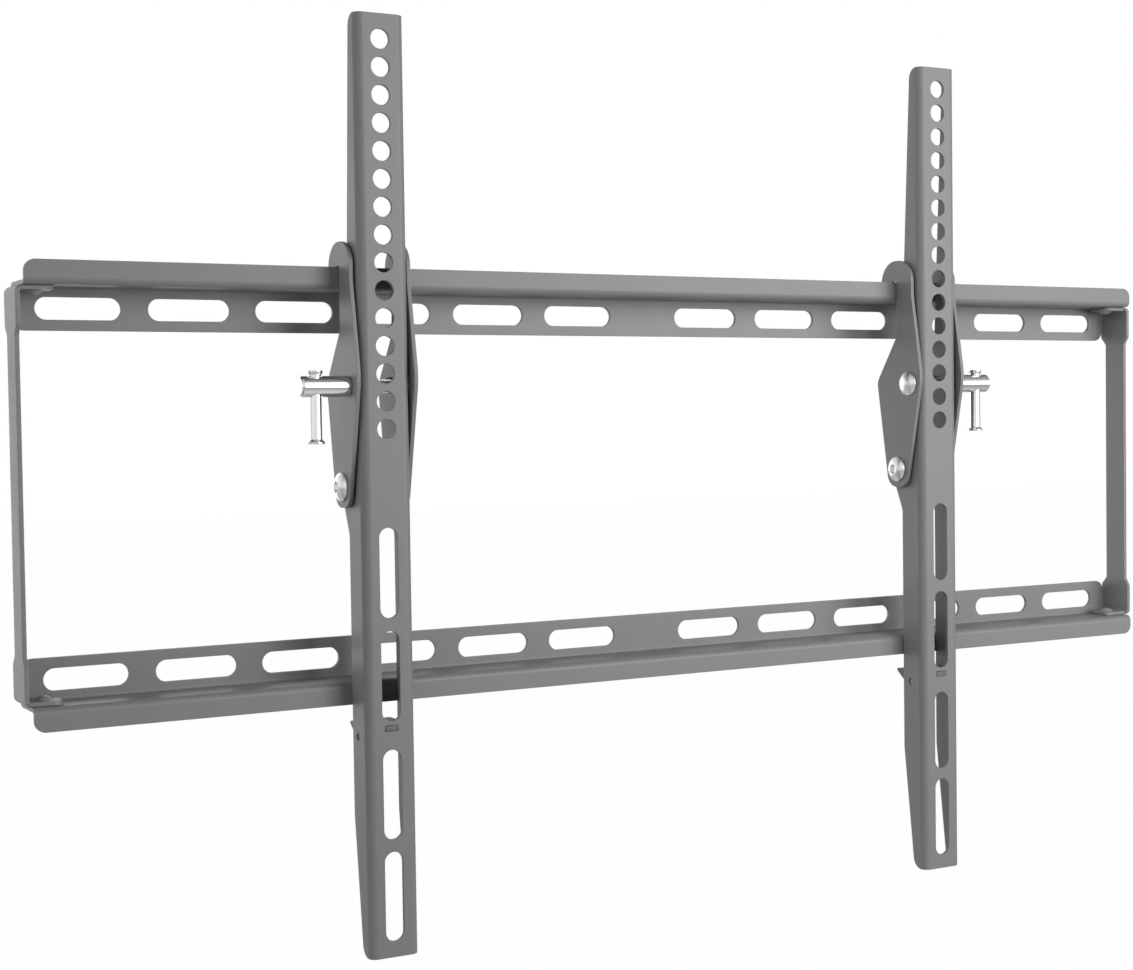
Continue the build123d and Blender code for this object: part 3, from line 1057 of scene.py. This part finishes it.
@dataclass(frozen=True)
class SoftBox:
    """Soft box lamp that faces the bracket."""

    name: str
    place: Point
    size: tuple[float, float]
    power: float

    def hang(self) -> None:
        """Hang the lamp in the studio, out of the camera's sight."""
        data = bpy.data.lights.new(self.name, "AREA")
        data.shape = "RECTANGLE"
        data.size, data.size_y = self.size
        data.energy = self.power
        lamp = bpy.data.objects.new(self.name, data)
        lamp.visible_camera = False
        lamp.location = self.place
        lamp.rotation_euler = (-Vector(self.place)).to_track_quat("-Z", "Y").to_euler()
        bpy.context.scene.collection.objects.link(lamp)


@dataclass
class Studio:
    """Pale floor, soft lamps, white surroundings and the camera."""

    floor_height: float = -0.80
    floor_size: float = 30.0
    floor_colour: Colour = (0.86, 0.86, 0.86)
    floor_roughness: float = 0.9
    floor_glow: float = 0.99
    floor_shine: float = 0.30
    lens: float = 60.66
    sensor_width: float = 36.0
    camera_place: Point = (-0.508455, -0.834182, 0.030299)
    camera_right: Point = (0.8737, -0.4863, -0.0142)
    camera_up: Point = (0.0296, 0.0241, 0.9993)
    level_focus: float = 2.0
    soft_light: Levels = (((-1.0, 0.0, 0.0), 1.54),)
    shine: Levels = (
        ((-1.0, 0.0, 0.0), 1.0),
        ((1.0, 0.0, 0.0), 0.6),
        ((0.0, -1.0, 0.0), 0.9),
        ((0.0, 1.0, 0.0), 1.0),
        ((0.0, 0.0, -1.0), 0.15),
        ((0.0, 0.0, 1.0), 0.10),
    )
    lamps: tuple[SoftBox, ...] = (
        SoftBox("key_lamp", (0.75, -0.9, 0.15), (0.5, 0.5), 4.2),
        SoftBox("front_lamp", (0.35, -0.9, 0.27), (0.5, 0.75), 5.6),
        SoftBox("rear_lamp", (-0.25, 1.1, 0.0), (0.8, 0.8), 3.2),
    )

    def build(self) -> None:
        """Build the whole studio."""
        self._floor()
        self._world()
        for lamp in self.lamps:
            lamp.hang()
        self._camera()
        bpy.context.scene.view_settings.view_transform = "Standard"

    def _floor(self) -> None:
        """Lay the pale floor, far below the bracket's wall height."""
        half = self.floor_size / 2
        shape = bmesh.new()
        corners = ((-half, -half), (half, -half), (half, half), (-half, half))
        shape.faces.new([shape.verts.new((x, y, self.floor_height)) for x, y in corners])
        mesh = bpy.data.meshes.new("studio_floor")
        shape.to_mesh(mesh)
        shape.free()
        mesh.materials.append(self._floor_material())
        floor = bpy.data.objects.new("studio_floor", mesh)
        bpy.context.scene.collection.objects.link(floor)

    def _floor_material(self) -> Material:
        """Make the floor's finish, which looks white and still takes the bracket's shadow.

        Returns:
            The material.
        """
        surface = Surface("pale_floor")
        surface.set({"Base Color": (*self.floor_colour, 1.0), "Roughness": self.floor_roughness})
        bench = surface.bench
        glow = bench.add("ShaderNodeEmission", {"Color": WHITE, "Strength": 1.0})
        camera_ray, shine_ray = self._seen_rays(bench)
        shine = bench.math("MULTIPLY", shine_ray, self.floor_shine)
        seen = bench.math("MULTIPLY", camera_ray, self.floor_glow)
        share = bench.math("MAXIMUM", seen, shine)
        lit, white = surface.shader.outputs["BSDF"], glow.outputs["Emission"]
        blend = bench.add("ShaderNodeMixShader", {0: share, 1: lit, 2: white})
        surface.show(blend.outputs["Shader"])
        return surface.material

    @staticmethod
    def _seen_rays(bench: NodeBench) -> tuple[NodeSocket, NodeSocket]:
        """Find the rays that show the background.

        Args:
            bench: The node bench of the floor or the surroundings.

        Returns:
            1 for camera rays, and 1 for glossy and transmission rays.
        """
        rays = bench.add("ShaderNodeLightPath").outputs
        shine_ray = bench.math("MAXIMUM", rays["Is Glossy Ray"], rays["Is Transmission Ray"])
        return rays["Is Camera Ray"], shine_ray

    def _world(self) -> None:
        """White surroundings to look at, with a plain soft level of light on the bracket."""
        world = bpy.data.worlds.new("studio_surroundings")
        bpy.context.scene.world = world
        world.use_nodes = True
        world.node_tree.nodes.clear()
        bench = NodeBench(world.node_tree)
        direction = bench.add("ShaderNodeTexCoord").outputs["Generated"]
        light = self._levels(bench, direction, self.soft_light)
        shine = self._levels(bench, direction, self.shine)
        camera_ray, shine_ray = self._seen_rays(bench)
        strength = self._chosen(bench, light, shine, shine_ray)
        strength = self._chosen(bench, strength, 1.0, camera_ray)
        glow = bench.add("ShaderNodeBackground", {"Color": WHITE, "Strength": strength})
        bench.add("ShaderNodeOutputWorld", {"Surface": glow.outputs["Background"]})

    def _levels(self, bench: NodeBench, direction: NodeSocket, levels: Levels) -> NodeSocket:
        """Blend the brightness of the surroundings from levels set along a few axes.

        Args:
            bench: The node bench of the surroundings.
            direction: Direction that is looked in.
            levels: Each axis with its brightness.

        Returns:
            The brightness in that direction.
        """
        total = None
        for axis, level in levels:
            facing = bench.math("MAXIMUM", bench.dot(direction, axis), 0.0)
            spread = bench.math("POWER", facing, self.level_focus)
            share = bench.math("MULTIPLY", spread, level)
            total = share if total is None else bench.math("ADD", total, share)
        return total

    @staticmethod
    def _chosen(bench: NodeBench, usual: object, other: object, choice: NodeSocket) -> NodeSocket:
        """Take the usual value, or the other one where the choice is 1.

        Args:
            bench: The node bench.
            usual: A socket or a number.
            other: A socket or a number.
            choice: A socket of 0 or 1.

        Returns:
            The chosen value's socket.
        """
        change = bench.math("MULTIPLY", bench.math("SUBTRACT", other, usual), choice)
        return bench.math("ADD", usual, change)

    def _camera(self) -> None:
        """Set the camera where the photograph was taken from."""
        data = bpy.data.cameras.new("photo_camera")
        data.sensor_fit = "HORIZONTAL"
        data.sensor_width = self.sensor_width
        data.lens = self.lens
        camera = bpy.data.objects.new("photo_camera", data)
        right = Vector(self.camera_right).normalized()
        up = Vector(self.camera_up)
        up = (up - right * up.dot(right)).normalized()
        turn = Matrix((right, up, right.cross(up))).transposed().to_4x4()
        camera.matrix_world = Matrix.Translation(self.camera_place) @ turn
        bpy.context.scene.collection.objects.link(camera)
        bpy.context.scene.camera = camera


def main() -> None:
    """Build the bracket and its studio."""
    logging.basicConfig(level=logging.INFO, format="%(name)s: %(message)s")
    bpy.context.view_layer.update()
    finishes = Finishes()
    WallFrame().build(finishes)
    for side in Side:
        ScreenArm(side).build(finishes)
        HookPair(side).build(finishes)
        TiltClamp(side).build(finishes)
    Studio().build()


if __name__ == "__main__":
    main()
